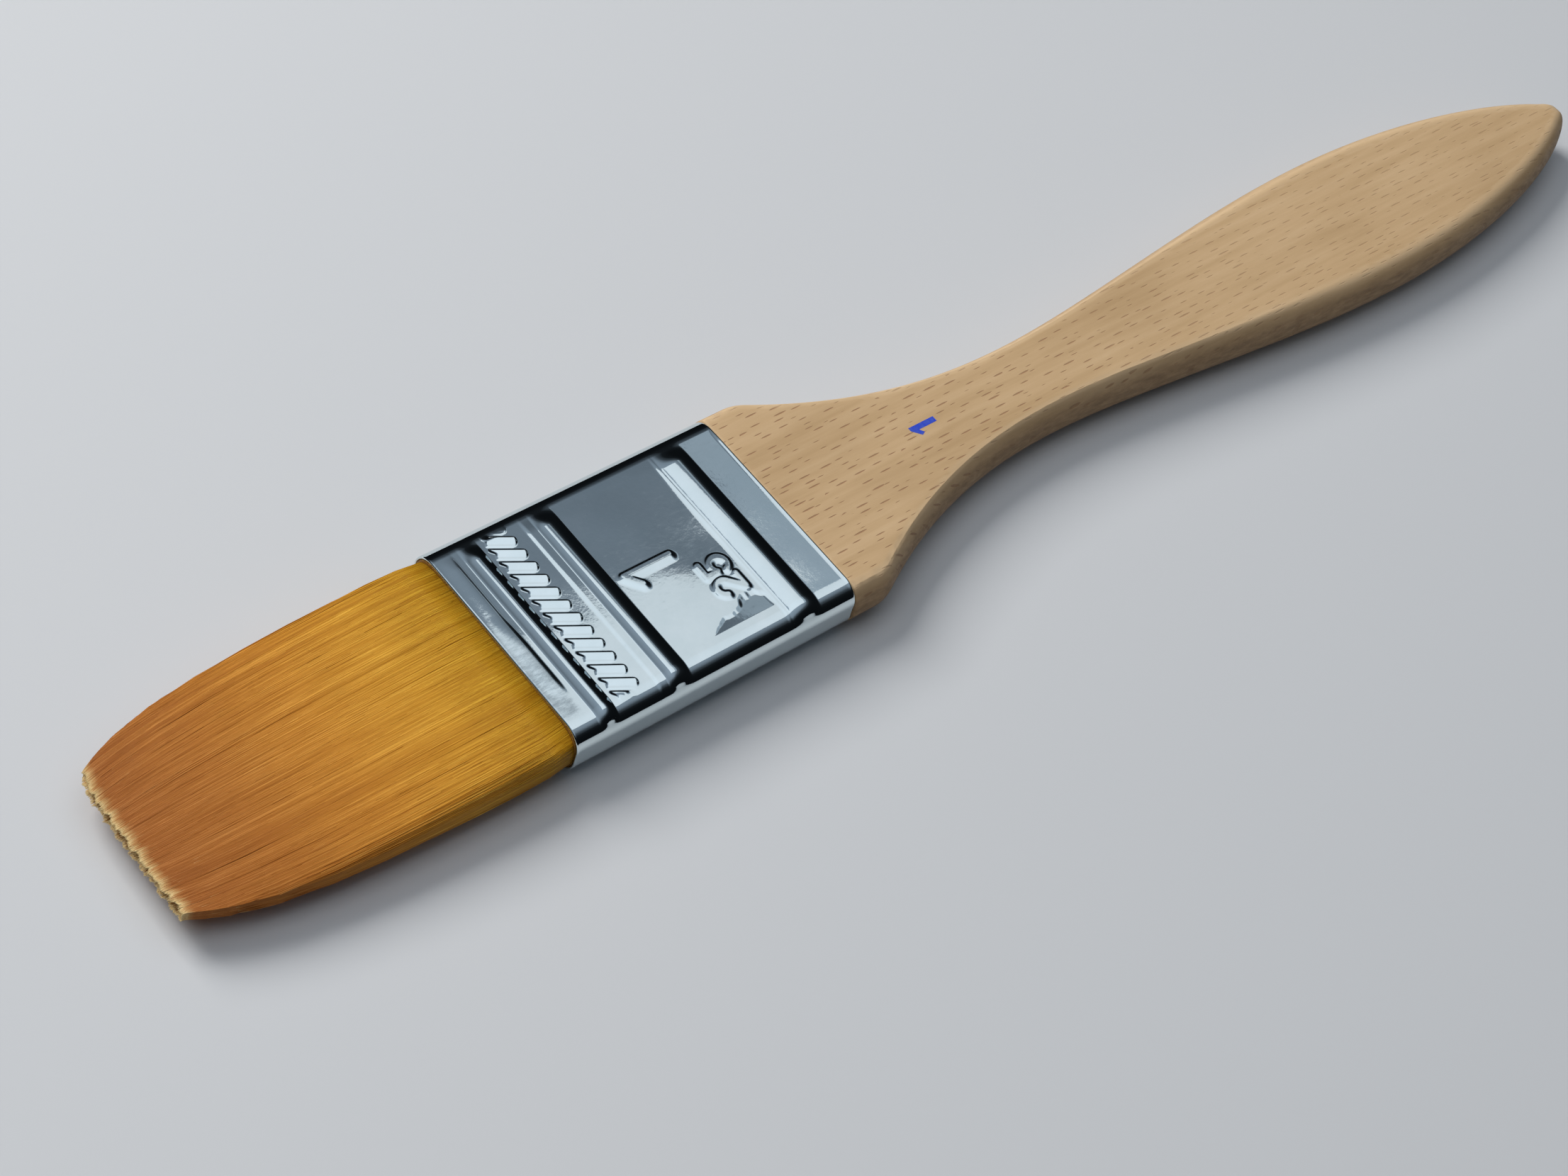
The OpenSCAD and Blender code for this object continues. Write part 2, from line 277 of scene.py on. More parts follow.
def arithmetic(nodes, links, operation, first, second):
    node = nodes.new("ShaderNodeMath")
    node.operation = operation
    for socket, value in zip(node.inputs, (first, second)):
        if isinstance(value, bpy.types.NodeSocket):
            links.new(value, socket)
        else:
            socket.default_value = value
    return node.outputs[0]


def bump(nodes, links, height, shader, distance, strength):
    node = nodes.new("ShaderNodeBump")
    node.inputs["Distance"].default_value = distance
    node.inputs["Strength"].default_value = strength
    links.new(height, node.inputs["Height"])
    links.new(node.outputs["Normal"], shader.inputs["Normal"])


def layer_value(nodes, name):
    node = nodes.new("ShaderNodeAttribute")
    node.attribute_name = name
    return node.outputs["Fac"]


def clouded_finish(name, sheen, scale, detail, roughness, stops):
    """A finish of one roughness whose colour drifts between two tones."""
    finish, nodes, links, shader = new_finish(name, Roughness=sheen)
    cloud = noise(nodes, links, scale, detail, roughness)
    links.new(ramp(nodes, links, cloud, stops), shader.inputs["Base Color"])
    return finish


# %% [markdown]
# The table is one wide pale sheet. It is plain, so that the brush's own shadow is all that
# lies on it.

# %% Table
table_finish = new_finish("pale_table", Base_Color=(0.62, 0.625, 0.63, 1), Roughness=0.7)[0]
table_half = 3.0
table_corners = np.array([(-1, -1, 0), (1, -1, 0), (1, 1, 0), (-1, 1, 0)]) * table_half
table = make_piece("table", table_corners, [[0, 1, 2, 3]], table_finish)

# %% [markdown]
# ## Handle
# The handle is sawn from one 5.8 mm beech board. A shaped cutter leaves its edges slightly
# bowed, with a crisp line beside each flat face, and sanding rounds them off in the grip. Its
# outline is three curves: a shoulder that falls to the neck, a grip that swells again, and a
# tail that closes to a blunt point. The same formulas as in the CAD source give the outline
# here, with far more sections, and the tang that is glued into the ferrule goes on the front.

# %% Outline of the handle
shoulder_half_width = ferrule_half_width + sheet
shoulder_length = 4.4 * MM
neck_place = 35.5 * MM
neck_width = 10.9 * MM
grip_place = 86 * MM
grip_width = 18.6 * MM
tail_width = 1.2 * MM
shoulder_power, grip_power, tail_power = 2.25, 0.9, 0.7
shoulder_rounding = 0.6 * MM


def soft_least(a, b, k):
    """The smaller of a and b, rounded over where they differ by less than k."""
    return min(a, b) - max(k - abs(a - b), 0) ** 2 / (4 * k)


def wood_half_width(x):
    """Half width of the wood at x behind the ferrule's rear rim."""
    if x < neck_place:
        fall = ((neck_place - x) / (neck_place - shoulder_length)) ** shoulder_power
        curve = neck_width / 2 + (shoulder_half_width - neck_width / 2) * fall
        return soft_least(shoulder_half_width, curve, shoulder_rounding)
    if x < grip_place:
        swell = smooth_step(((x - neck_place) / (grip_place - neck_place)) ** grip_power)
        return (neck_width + (grip_width - neck_width) * swell) / 2
    t = min((x - grip_place) / (handle_length - grip_place), 1)
    return (tail_width + (grip_width - tail_width) * (1 - t * t) ** tail_power) / 2


print("handle's width at the neck and the grip in mm:",
      [round(2 * wood_half_width(x) / MM, 1) for x in (neck_place, grip_place)])

# %% Thickness and edges of the handle
board_half = 2.9 * MM
tail_rounding = 2.5 * MM
tail_thinning = 0.85


def wood_half_height(x):
    k = max(0, 1 - (handle_length - x) / tail_rounding)
    return board_half * (1 - tail_thinning * (1 - math.sqrt(1 - k * k)))


def edge_change(x):
    """0 up to the neck, where the edges are crisp, and 1 in the grip, where they are round."""
    return smooth_step(((x - neck_place) / (grip_place - neck_place) - 0.3) / 0.6)


print("handle's thickness at its tail in mm:", round(2 * wood_half_height(handle_length) / MM, 1))

# %% [markdown]
# Beech is known by its short dark flecks, the ends of the rays, each between one and two
# millimetres long and a fifth of a millimetre wide. A pattern of long cells places them: each
# cell has one middle point, and the distance from it, squeezed to a narrow ellipse, draws one
# fleck whose size differs from cell to cell. The flecks fade towards the tail, where the saw
# met the rays at another angle. The edges are darker, most towards the middle of each side,
# partly from the open pores they cut across and partly as painted shade. Just beside each flat
# face a lighter line runs along the edge, a painted highlight.

# %% Beech finish
def ray_flecks(nodes, links, length, width):
    """1 inside the flecks and 0 between them."""
    cells = nodes.new("ShaderNodeTexVoronoi")
    cells.inputs["Scale"].default_value = 1.0
    cells.inputs["Randomness"].default_value = 0.85
    place = stretched(nodes, links, (1 / length, 1 / width, 0.2 / width))
    links.new(place, cells.inputs["Vector"])
    offset = nodes.new("ShaderNodeVectorMath")
    offset.operation = "SUBTRACT"
    links.new(place, offset.inputs[0])
    links.new(cells.outputs["Position"], offset.inputs[1])
    squeeze = nodes.new("ShaderNodeVectorMath")
    squeeze.operation = "MULTIPLY"
    squeeze.inputs[1].default_value = (1.0, 3.2, 0.2)
    links.new(offset.outputs["Vector"], squeeze.inputs[0])
    distance = nodes.new("ShaderNodeVectorMath")
    distance.operation = "LENGTH"
    links.new(squeeze.outputs["Vector"], distance.inputs[0])
    chance = nodes.new("ShaderNodeSeparateColor")
    links.new(cells.outputs["Color"], chance.inputs[0])
    reach = arithmetic(nodes, links, "MULTIPLY_ADD", chance.outputs["Red"], 0.22)
    reach.node.inputs[2].default_value = 0.13
    inside = arithmetic(nodes, links, "SUBTRACT", reach, distance.outputs["Value"])
    return ramp(nodes, links, arithmetic(nodes, links, "MULTIPLY", inside, 8.0),
                [(0.0, 0.0), (0.5, 0.85), (1.0, 1.0)])


def along_handle(nodes, links, stops):
    """A ramp along X whose stops are (distance behind the rear rim, value)."""
    place = nodes.new("ShaderNodeTexCoord")
    split = nodes.new("ShaderNodeSeparateXYZ")
    links.new(place.outputs["Object"], split.inputs[0])
    share = arithmetic(nodes, links, "SUBTRACT", split.outputs["X"], rear_x)
    share = arithmetic(nodes, links, "DIVIDE", share, handle_length)
    return ramp(nodes, links, share, [(x / handle_length, value) for x, value in stops])


def beech_finish():
    finish, nodes, links, shader = new_finish("beech")
    shader.inputs["Specular IOR Level"].default_value = 0.3

    grain = noise(nodes, links, (45, 800, 800), 5, 0.6)
    tone = ramp(nodes, links, grain, [(0.30, (0.52, 0.340, 0.172)), (0.50, (0.575, 0.383, 0.202)),
                                      (0.72, (0.62, 0.425, 0.235))])
    cloud = noise(nodes, links, (45, 120, 120), 3, 0.5)
    patch = ramp(nodes, links, cloud, [(0.32, (0.90, 0.885, 0.86)), (0.5, (1.0, 1.0, 1.0)),
                                       (0.68, (1.05, 1.06, 1.08))])
    tone = mix(nodes, links, 1.0, tone, patch, "MULTIPLY")

    fleck = ray_flecks(nodes, links, 2.7 * MM, 0.95 * MM)
    clear = along_handle(nodes, links, [(0, 0.85), (40 * MM, 0.75),
                                        (70 * MM, 0.34), (123 * MM, 0.22)])
    tone = mix(nodes, links, arithmetic(nodes, links, "MULTIPLY", fleck, clear),
               tone, (0.33, 0.172, 0.085))

    # Sides of the handle: a darker tone for worn open pores, deepest towards the middle of each
    # side, which is partly painted shade.
    wear = layer_value(nodes, "edge_wear_and_shade")
    fibre = noise(nodes, links, (450, 2200, 1500), 4, 0.7)
    edge_wear_and_shade_tone = ramp(nodes, links, fibre, [(0.30, (0.15, 0.080, 0.034)),
                                           (0.52, (0.30, 0.175, 0.080)),
                                           (0.75, (0.46, 0.29, 0.145))])
    share = arithmetic(nodes, links, "MULTIPLY", wear, 0.75)
    tone = mix(nodes, links, share, tone, edge_wear_and_shade_tone)
    # Painted highlight: a lighter tone along the edge just beside each flat face.
    edge_highlight_share = arithmetic(nodes, links, "MULTIPLY", layer_value(nodes, "painted_edge_highlight"), 0.55)
    tone = mix(nodes, links, edge_highlight_share, tone, (0.69, 0.50, 0.30))
    links.new(tone, shader.inputs["Base Color"])

    pores = mix(nodes, links, 0.5, grain, fibre)
    dull = ramp(nodes, links, pores, [(0.3, 0.62), (0.7, 0.46)])
    links.new(dull, shader.inputs["Roughness"])
    bump(nodes, links, arithmetic(nodes, links, "SUBTRACT", pores, fleck), shader, 0.00004, 0.7)
    return finish


beech = beech_finish()
print("beech has", len(beech.node_tree.nodes), "nodes")

# %% Cross-section of the handle
edge_rng = np.random.default_rng(3)
edge_knots = np.arange(0, 125, 0.45) * MM
edge_wear = edge_rng.uniform(0.02, 0.09, (4, len(edge_knots))) * MM
edge_wear[:, edge_knots < 9 * MM] *= 1.9
wear_width = 0.28 * MM
neck_bulge, grip_bulge = 1.35 * MM, 2.2 * MM
side_points, face_points = 31, 25


def wood_section(x):
    """Ring of points at x behind the rear rim, with each long edge a little worn."""
    width, height, change = wood_half_width(x), wood_half_height(x), edge_change(x)
    bulge = min(neck_bulge + (grip_bulge - neck_bulge) * change, 0.8 * width)
    soft = 0.1 + 0.85 * change
    angle = np.radians(np.linspace(-90, 90, side_points))
    bow = (1 - soft) * np.cos(angle) ** 2 + soft * np.cos(angle)
    side_y = width - bulge + bulge * bow
    side_z = height * np.sin(angle)
    face = width - bulge
    face_y = face * np.sin(np.radians(np.linspace(90, -90, face_points + 2)[1:-1]))
    face_z = np.full(face_points, height)
    wear = [np.interp(x, edge_knots, row) * (1 - 0.8 * change) for row in edge_wear]
    y = np.concatenate([side_y, face_y, -side_y[::-1], face_y[::-1]])
    z = np.concatenate([side_z, face_z, side_z[::-1], -face_z])
    for row, (sign_y, sign_z) in zip(wear, [(1, 1), (-1, 1), (-1, -1), (1, -1)]):
        near = np.hypot(y - sign_y * face, z - sign_z * height) / wear_width
        z = z - sign_z * row * np.exp(-near ** 2)
    return at_place(rear_x + x, np.column_stack([y, z]))


print("a section of the handle has", len(wood_section(neck_place)), "points")

# %% Handle mesh
root_depth = 15 * MM
resin_length = 2 * MM
glue_film = 0.12 * MM


def tang_sections():
    """The tang inside the ferrule, and the small step from it out to the shoulder."""
    half_width = ferrule_half_width - sheet - glue_film
    half_height = ferrule_half_thickness - sheet - glue_film
    first = wood_section(0.0)
    outline = first[:, 1:] * (half_width / shoulder_half_width, half_height / board_half)
    tang_start = mouth_x + root_depth + resin_length + glue_film
    rings = [at_place(x, outline) for x in np.linspace(tang_start, rear_x, 5)]
    inset = first * (1, 0.985, 0.97)
    return rings + [inset]


def wood_places():
    """Places of the sections, closest at the shoulder and at the very tail."""
    shoulder = np.linspace(0.2 * MM, 12 * MM, 48)
    neck = np.linspace(12 * MM, neck_place, 40)[1:]
    grip = np.linspace(neck_place, grip_place, 60)[1:]
    tail = np.sin(np.radians(90 * np.arange(1, 61) / 60)) * (handle_length - grip_place)
    return np.concatenate([shoulder, neck, grip, grip_place + tail])


def build_handle():
    points = np.array(tang_sections() + [wood_section(x) for x in wood_places()])
    points[:, :, 2] += middle_z
    piece = make_piece("beech_handle", points, skin_faces(*points.shape[:2]), beech)
    rise = np.abs(points[:, :, 2] - middle_z) / board_half
    # Towards the middle of each side the colour darkens, partly worn wood and partly painted shade.
    worn_and_shaded = 0.15 * (rise < 0.9) + 0.85 * smooth_step((0.86 - rise) / 0.5)
    # A painted highlight just beside each flat face.
    edge_highlight = np.exp(-((rise - 0.94) / 0.07) ** 2) * (rise < 0.998)
    point_values(piece, "edge_wear_and_shade", worn_and_shaded)
    point_values(piece, "painted_edge_highlight", edge_highlight)
    return piece


handle = build_handle()
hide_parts("handle")
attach(handle, "held_brush")

# %% [markdown]
# A plain size number is printed in blue near the neck, with its top towards the tuft. Ink has
# almost no thickness, so the number is a very thin raised shape that lies on the wood.

# %% Printed number
ink = clouded_finish("blue_ink", 0.45, (3000, 3000, 3000), 3, 0.6,
                     [(0.30, (0.05, 0.10, 0.50)), (0.6, (0.018, 0.055, 0.56))])
ink_depth = 0.012 * MM


def printed_one(top_x, centre_y, height):
    """The number 1 as an outline: a plain stem with a flag, its top towards the tuft."""
    outline = [(-0.09, 0.0), (-0.09, 0.72), (-0.24, 0.62), (-0.31, 0.75), (-0.02, 1.0),
               (0.11, 1.0), (0.11, 0.0)]
    top = middle_z + board_half + ink_depth
    base = [(top_x + (1 - v) * height, centre_y + u * height) for u, v in outline]
    points = [(x, y, top) for x, y in base] + [(x, y, top - 2 * ink_depth) for x, y in base]
    count = len(base)
    faces = [list(range(count))[::-1], list(range(count, 2 * count))]
    for i in range(count):
        k = (i + 1) % count
        faces.append([i, k, k + count, i + count])
    return make_piece("printed_size_number", points, faces, ink, smooth=False)


number = printed_one(top_x=mouth_x + 53.0 * MM, centre_y=0.4 * MM, height=3.4 * MM)
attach(number, "held_brush")

# %% [markdown]
# ## Ferrule
# The ferrule is one strip of tinplate, 0.3 mm thick, bent into a flat sleeve and lapped along
# a narrow side. Rollers and dies press three beads, a band of slanted ribs and the size
# numbers outwards. Here the sleeve is a fine grid: its height over the flat face is a sum of
# formulas, one for each pressed form, so the relief is real geometry with no seams in it.

# %% Pressed bands of the ferrule, in millimetres from its mouth
bead_height = 0.45
bead_places = [(3.0, 4.05, 5.25), (11.3, 12.35, 14.1), (26.7, 28.7, 30.4)]
rim_start = 34.2


def bead(x, start, crest, end):
    """A rounded ridge that rises from start to crest and falls to end."""
    rise = np.sin(np.clip((x - start) / (crest - start), 0, 1) * math.pi / 2)
    fall = np.cos(np.clip((x - crest) / (end - crest), 0, 1) * math.pi / 2)
    return bead_height * np.where(x < crest, rise, fall)


def pressed_bands(x, y):
    """The three beads, the raised lip with its groove, and the low steps beside them."""
    near_end = smooth_step((y + 8.6) / 2.6)
    lip_height = (0.045 + 0.075 * smooth_step((3 - y) / 5)) * near_end
    lip = lip_height * smooth_step((x - 0.3) / 1.4) * smooth_step((3.05 - x) / 1.2)
    rim = 0.05 * smooth_step((x - rim_start) / 0.4)
    step = 0.08 * smooth_step((x - 10.2) / 0.35) * (x < 12)
    strip = 0.05 * smooth_step((x - 26.35) / 0.3) * (x < 28)
    beads = [bead(x, *places) for places in bead_places]
    groove = smooth_step((x - 1.9) / 0.8) * smooth_step((3.1 - x) / 0.3) * near_end
    return np.maximum.reduce([lip, rim, step, strip, *beads]) - 0.09 * groove


print("crests of the beads in mm from the mouth:", [crest for _, crest, _ in bead_places])

# %% Slanted ribs
rib_start, rib_end = 5.25, 9.25
rib_pitch = 1.75
rib_slant = math.radians(29)
rib_across = (-0.765, -0.66, -0.56, -0.44, -0.30, 0.42, 0.50, 0.68, 0.765)
rib_heights = (0.0, 0.0, 0.045, 0.055, 0.06, 0.235, 0.22, 0.0, 0.0)


def pressed_ribs(x, y):
    """Slanted ribs: a steep flank, a long gentle one and a low fold beside it."""
    slant_cos, slant_sin = math.cos(rib_slant), math.sin(rib_slant)
    from_middle = x - (rib_start + rib_end) / 2
    row = (y + from_middle * math.tan(rib_slant)) / rib_pitch - 0.5
    from_row = y - (np.round(row) + 0.5) * rib_pitch
    v = (row - np.round(row)) * rib_pitch * slant_cos
    u = from_middle * slant_cos - from_row * slant_sin
    rounding = np.sqrt(np.clip(1 - ((v - 0.08) / 0.62) ** 2, 0, 1))
    rear = smooth_step((1.40 + 0.42 * rounding - u) / 0.28)
    front = smooth_step((u + 1.45 + 0.62 * smooth_step((v - 0.02) / 0.4)) / 0.28)
    sides = smooth_step((10.9 - y) / 0.9) * smooth_step((11.3 + y) / 1.1)
    return np.interp(v, rib_across, rib_heights) * rear * front * sides


print("ribs are", rib_pitch, "mm apart and stand", max(rib_heights), "mm high")

# %% [markdown]
# The size numbers are strokes of one width. The distance from a point to the nearest stroke
# says how high the sheet stands there, which gives them the soft flanks of pressed metal.

# %% Raised numbers
def to_stroke(u, v, a, b):
    a, b = np.array(a), np.array(b)
    d = b - a
    t = np.clip(((u - a[0]) * d[0] + (v - a[1]) * d[1]) / (d @ d), 0, 1)
    return np.hypot(u - a[0] - t * d[0], v - a[1] - t * d[1])


def to_bow(u, v, centre, radius, start, end):
    """Distance to an arc between two angles in degrees."""
    angle = np.degrees(np.arctan2(v - centre[1], u - centre[0]))
    middle, half = (start + end) / 2, (end - start) / 2
    turn = (angle - middle + 180) % 360 - 180
    held = np.radians(middle + np.clip(turn, -half, half))
    return np.hypot(u - centre[0] - radius * np.cos(held), v - centre[1] - radius * np.sin(held))


def number_one(u, v, h):
    top = (0, h - 0.3)
    return np.minimum(to_stroke(u, v, (0, 0.35), top), to_stroke(u, v, (-0.26 * h, 0.76 * h), top))


def number_two(u, v, h):
    r = 0.26 * h
    bow_end = -40
    centre = (0, h - r - 0.2)
    knee = (r * math.cos(math.radians(bow_end)), centre[1] + r * math.sin(math.radians(bow_end)))
    foot = (-r, 0.3)
    return np.minimum.reduce([to_bow(u, v, centre, r, bow_end, 165),
                              to_stroke(u, v, knee, foot),
                              to_stroke(u, v, foot, (r, 0.3))])


def number_five(u, v, h):
    r = 0.27 * h
    corner = (-0.22 * h, h - 0.3)
    return np.minimum.reduce([to_bow(u, v, (0, r + 0.2), r, -150, 130),
                              to_stroke(u, v, corner, (0.24 * h, h - 0.3)),
                              to_stroke(u, v, corner, (-0.2 * h, 0.5 * h))])


panel_start, panel_end = 14.1, 26.5
large_number, small_number = 6.3, 3.4
number_margin = 0.9
small_offset = 4.4


def to_large_number(x, y):
    """Distance to the 1, whose top is towards the tuft."""
    return number_one(y - 0.3, panel_start + number_margin + large_number - x, large_number)


def to_small_number(x, y):
    """Distance to the 25, which stands by the rear bead."""
    foot = panel_end - number_margin - x
    gap = 0.375 * small_number
    return np.minimum(number_two(y + small_offset + gap, foot, small_number),
                      number_five(y + small_offset - gap, foot, small_number))


def stamped(distance, x, y, height, near_flank):
    """A stroke with a steep flank on its far side and a gentle one on its near side."""
    steep = smooth_step((0.48 - distance(x, y)) / 0.24)
    from_shifted = distance(x + 0.1, y + 0.4 * near_flank)
    gentle = smooth_step((0.33 + 0.6 * near_flank - from_shifted) / near_flank)
    return height * np.maximum(steep, gentle)


def pressed_numbers(x, y):
    return np.maximum(stamped(to_large_number, x, y, 0.16, 0.8),
                      stamped(to_small_number, x, y, 0.12, 0.5))


print("raised numbers are", large_number, "and", small_number, "mm tall")

# %% [markdown]
# Pressed sheet is never quite flat. A slow wave of a few thousandths of a millimetre makes the
# reflections on the panels wander as they do on real tinplate, and a shallow ragged dent by the
# long corner shows as a dark smudge in the bright half of the panel.

# %% Height of the sheet over the flat face
flat_half = (ferrule_half_width - ferrule_corner) / MM


def sheet_wave(x, y):
    return 0.003 * (np.sin(0.55 * x + 0.21 * y + 0.4) * np.cos(0.33 * y - 0.3)
                    + 0.5 * np.sin(0.9 * y + 0.4 * x + 1.1))


def panel_hollow(x, y):
    """The middle of the panel sinks a little towards the rear bead."""
    across = np.where(y < 0.5, smooth_step((y + 7) / 7.5), smooth_step((10.5 - y) / 10))
    return -0.05 * smooth_step((x - 18.5) / 7) * smooth_step((26.6 - x) / 0.5) * across


def corner_dent(x, y):
    """A shallow dent along the near edge of the panel, widest by the rear bead."""
    narrow_end = 0.90 * smooth_step((x - 18.3) / 2.6)
    wide_end = 1.05 * smooth_step((x - 22.0) / 2.6) - 0.6 * smooth_step((x - 24.9) / 1.6)
    width = (narrow_end + wide_end) * (1 + 0.05 * np.sin(4.3 * x) + 0.02 * np.sin(9.7 * x)) + 0.02
    share = (y + 9.85) / width
    fall = np.clip(share, 0, 1) - smooth_step((share - 1) / 0.5)
    return -0.058 * width * fall * smooth_step((26.4 - x) / 0.4)


def bead_end(y):
    """A domed end round the near long corner, and a softer one in the far corner."""
    past = np.clip((np.abs(y) - flat_half - 0.2) / 1.5, 0, 1)
    soft = smooth_step((flat_half + 0.5 - np.abs(y)) / 2.4)
    return np.where(y < 0, np.sqrt(1 - past ** 2), soft)


def relief(x, y, numbered):
    """Height of the sheet, in mm. Only the upper face has numbers and a dent."""
    height = np.maximum(pressed_bands(x, y) * bead_end(y), pressed_ribs(x, y))
    if numbered:
        height = np.maximum(height, pressed_numbers(x, y))
    from_rear = ferrule_length / MM - x
    fade = smooth_step(x / 2) * smooth_step(from_rear / 2)
    fade = fade * smooth_step((flat_half - np.abs(y)) / 1.5)
    sunk = corner_dent(x, y) + panel_hollow(x, y) if numbered else 0
    return np.minimum(height + sheet_wave(x, y) * fade + sunk, bead_height)


print("relief on a bead and on the rear panel in mm:",
      [round(float(relief(x, 0.0, True)), 3) for x in (bead_places[1][1], 33.0)])

# %% [markdown]
# Tinplate is bright and slightly blue. Fine rubbing marks make it duller in patches, and a
# little grain in the tin breaks the reflections up, but the edges between light and dark stay
# sharp.

# %% Tinplate finish
def tinplate_finish():
    finish, nodes, links, shader = new_finish("tinplate", Metallic=1.0)
    cloud = noise(nodes, links, (260, 260, 260), 6, 0.65)
    links.new(ramp(nodes, links, cloud, [(0.3, (0.65, 0.745, 0.765)), (0.7, (0.71, 0.795, 0.815))]),
              shader.inputs["Base Color"])
    handled = layer_value(nodes, "rubbed_lip")
    marks = noise(nodes, links, (900, 2600, 900), 5, 0.7, turn=(0, 0, 0.5))
    bright = ramp(nodes, links, marks, [(0.4, 0.03), (0.62, 0.05), (0.8, 0.14)])
    dull = ramp(nodes, links, marks, [(0.35, 0.14), (0.65, 0.40)])
    links.new(mix(nodes, links, handled, bright, dull), shader.inputs["Roughness"])
    tin = noise(nodes, links, (2200, 2200, 2200), 3, 0.6)
    scratches = arithmetic(nodes, links, "MULTIPLY", marks, handled)
    scratches = arithmetic(nodes, links, "MULTIPLY", scratches, 3.0)
    bump(nodes, links, arithmetic(nodes, links, "ADD", tin, scratches), shader, 0.000003, 0.5)
    return finish


tinplate = tinplate_finish()
print("tinplate has", len(tinplate.node_tree.nodes), "nodes")

# %% Rings of the sleeve
corner_radius = ferrule_corner / MM
corner_y = ferrule_half_width / MM - corner_radius
corner_z = ferrule_half_thickness / MM - corner_radius
corner_angles = np.radians(np.linspace(0, 90, 13))[1:-1]
upper_steps, lower_steps = 300, 110
wall_steps = 5


def long_corner(x, start, side_y, side_z):
    """Points (y, z) round one long corner, with the lift of the bands that run into it."""
    bend = corner_angles + start
    y = side_y * corner_y + corner_radius * np.cos(bend)
    lift = relief(np.full(len(bend), x), y, False) * np.abs(np.sin(bend)) ** 2
    return y + lift * np.cos(bend), side_z * corner_z + (corner_radius + lift) * np.sin(bend)


def sleeve_ring(x):
    """Outer ring (y, z) of the sleeve at x from the mouth, with its pressed relief."""
    parts = []
    for side, steps in ((1, upper_steps), (-1, lower_steps)):
        flat = -side * np.linspace(-flat_half, flat_half, steps)
        lift = relief(np.full(steps, x), flat, side == 1)
        parts.append((flat, side * (corner_z + corner_radius + lift)))
        parts.append(long_corner(x, side * math.pi / 2, -side, side))
        wall = np.full(wall_steps, -side * (corner_y + corner_radius))
        parts.append((wall, side * np.linspace(corner_z, -corner_z, wall_steps)))
        parts.append(long_corner(x, math.pi if side == 1 else 0, -side, -side))
    return np.column_stack([np.concatenate(values) for values in zip(*parts)])


print("a ring of the sleeve has", len(sleeve_ring(20.0)), "points")

# %% Ferrule mesh
def sleeve_rings():
    """Rings round the sheet: over the mouth's rim, along the outside and back inside."""
    length = ferrule_length / MM
    thick = sheet / MM
    half = thick / 2
    stations = np.concatenate([np.linspace(half, 5.0, 44), np.linspace(5.06, 9.5, 80),
                               np.linspace(9.6, 14.2, 44), np.linspace(14.3, 26.5, 122),
                               np.linspace(26.6, length - half, 66)])
    plain = sleeve_ring(-5)
    normal = plain - np.clip(plain, (-corner_y, -corner_z), (corner_y, corner_z))
    normal /= np.linalg.norm(normal, axis=1)[:, None]

    def rim_ring(x, degrees):
        """A ring on the sheet's round edge, whose middle is at x."""
        angle = math.radians(degrees)
        section = sleeve_ring(x) - normal * (half - half * math.sin(angle))
        return at_place(x + half * math.cos(angle), section)

    mouth = [rim_ring(half, degrees) for degrees in (180, 135)]
    outside = [at_place(x, sleeve_ring(x)) for x in stations]
    rear = [rim_ring(length - half, degrees) for degrees in (45, 0, -45)]
    inside = [at_place(x, plain - normal * thick) for x in (length - half, length / 2, half)]
    return mouth + outside + rear + inside + [rim_ring(half, 225)]


def build_ferrule():
    points = np.array(sleeve_rings()) * MM
    points[:, :, 0] += mouth_x
    points[:, :, 2] += middle_z
    count, around = points.shape[:2]
    faces = skin_faces(count, around, capped=False)
    last = (count - 1) * around
    for j in range(around):
        k = (j + 1) % around
        faces.append([last + j, last + k, k, j])
    return points.reshape(-1, 3), faces


# %% Lap of the sheet
lap_setback = 1.2 * MM
lap_half_height = 0.75 * MM
lap_rounding = 0.12 * MM
lap_lead_in = 0.1 * MM


def build_lap():
    """The strip where the sheet's outer end lies over its inner end, on the far narrow side."""
    outer = ferrule_half_width + sheet
    inner = ferrule_half_width - sheet / 2
    low_half = [(inner, -lap_half_height), (outer - lap_rounding, -lap_half_height),
                (outer, -lap_half_height + lap_rounding)]
    section = np.array(low_half + [(y, -z) for y, z in low_half[::-1]])
    start, end = mouth_x + lap_setback, rear_x - lap_setback
    places = [start, start + lap_lead_in, end - lap_lead_in, end]
    rings = []
    for x, shrink in zip(places, (0.35, 1.0, 1.0, 0.35)):
        y = inner + (section[:, 0] - inner) * shrink
        rings.append(at_place(x, np.column_stack([y, middle_z + section[:, 1]])))
    return np.vstack(rings), skin_faces(len(rings), len(section))


# %% Ferrule
sleeve_points, sleeve_faces = build_ferrule()
lap_points, lap_faces = build_lap()
lap_faces = [[i + len(sleeve_points) for i in face] for face in lap_faces]
ferrule_points = np.vstack([sleeve_points, lap_points])
ferrule = make_piece("pressed_ferrule", ferrule_points, sleeve_faces + lap_faces, tinplate)
ferrule_x, ferrule_y, ferrule_z = ferrule_points.T
on_lip = smooth_step((mouth_x + 2.6 * MM - ferrule_x) / (1.0 * MM))
on_face = smooth_step((10.9 * MM - np.abs(ferrule_y)) / (1.2 * MM)) * (ferrule_z > middle_z)
point_values(ferrule, "rubbed_lip", on_lip * on_face * smooth_step((3 * MM - ferrule_y) / (8 * MM)))
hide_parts("ferrule")
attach(ferrule, "held_brush")

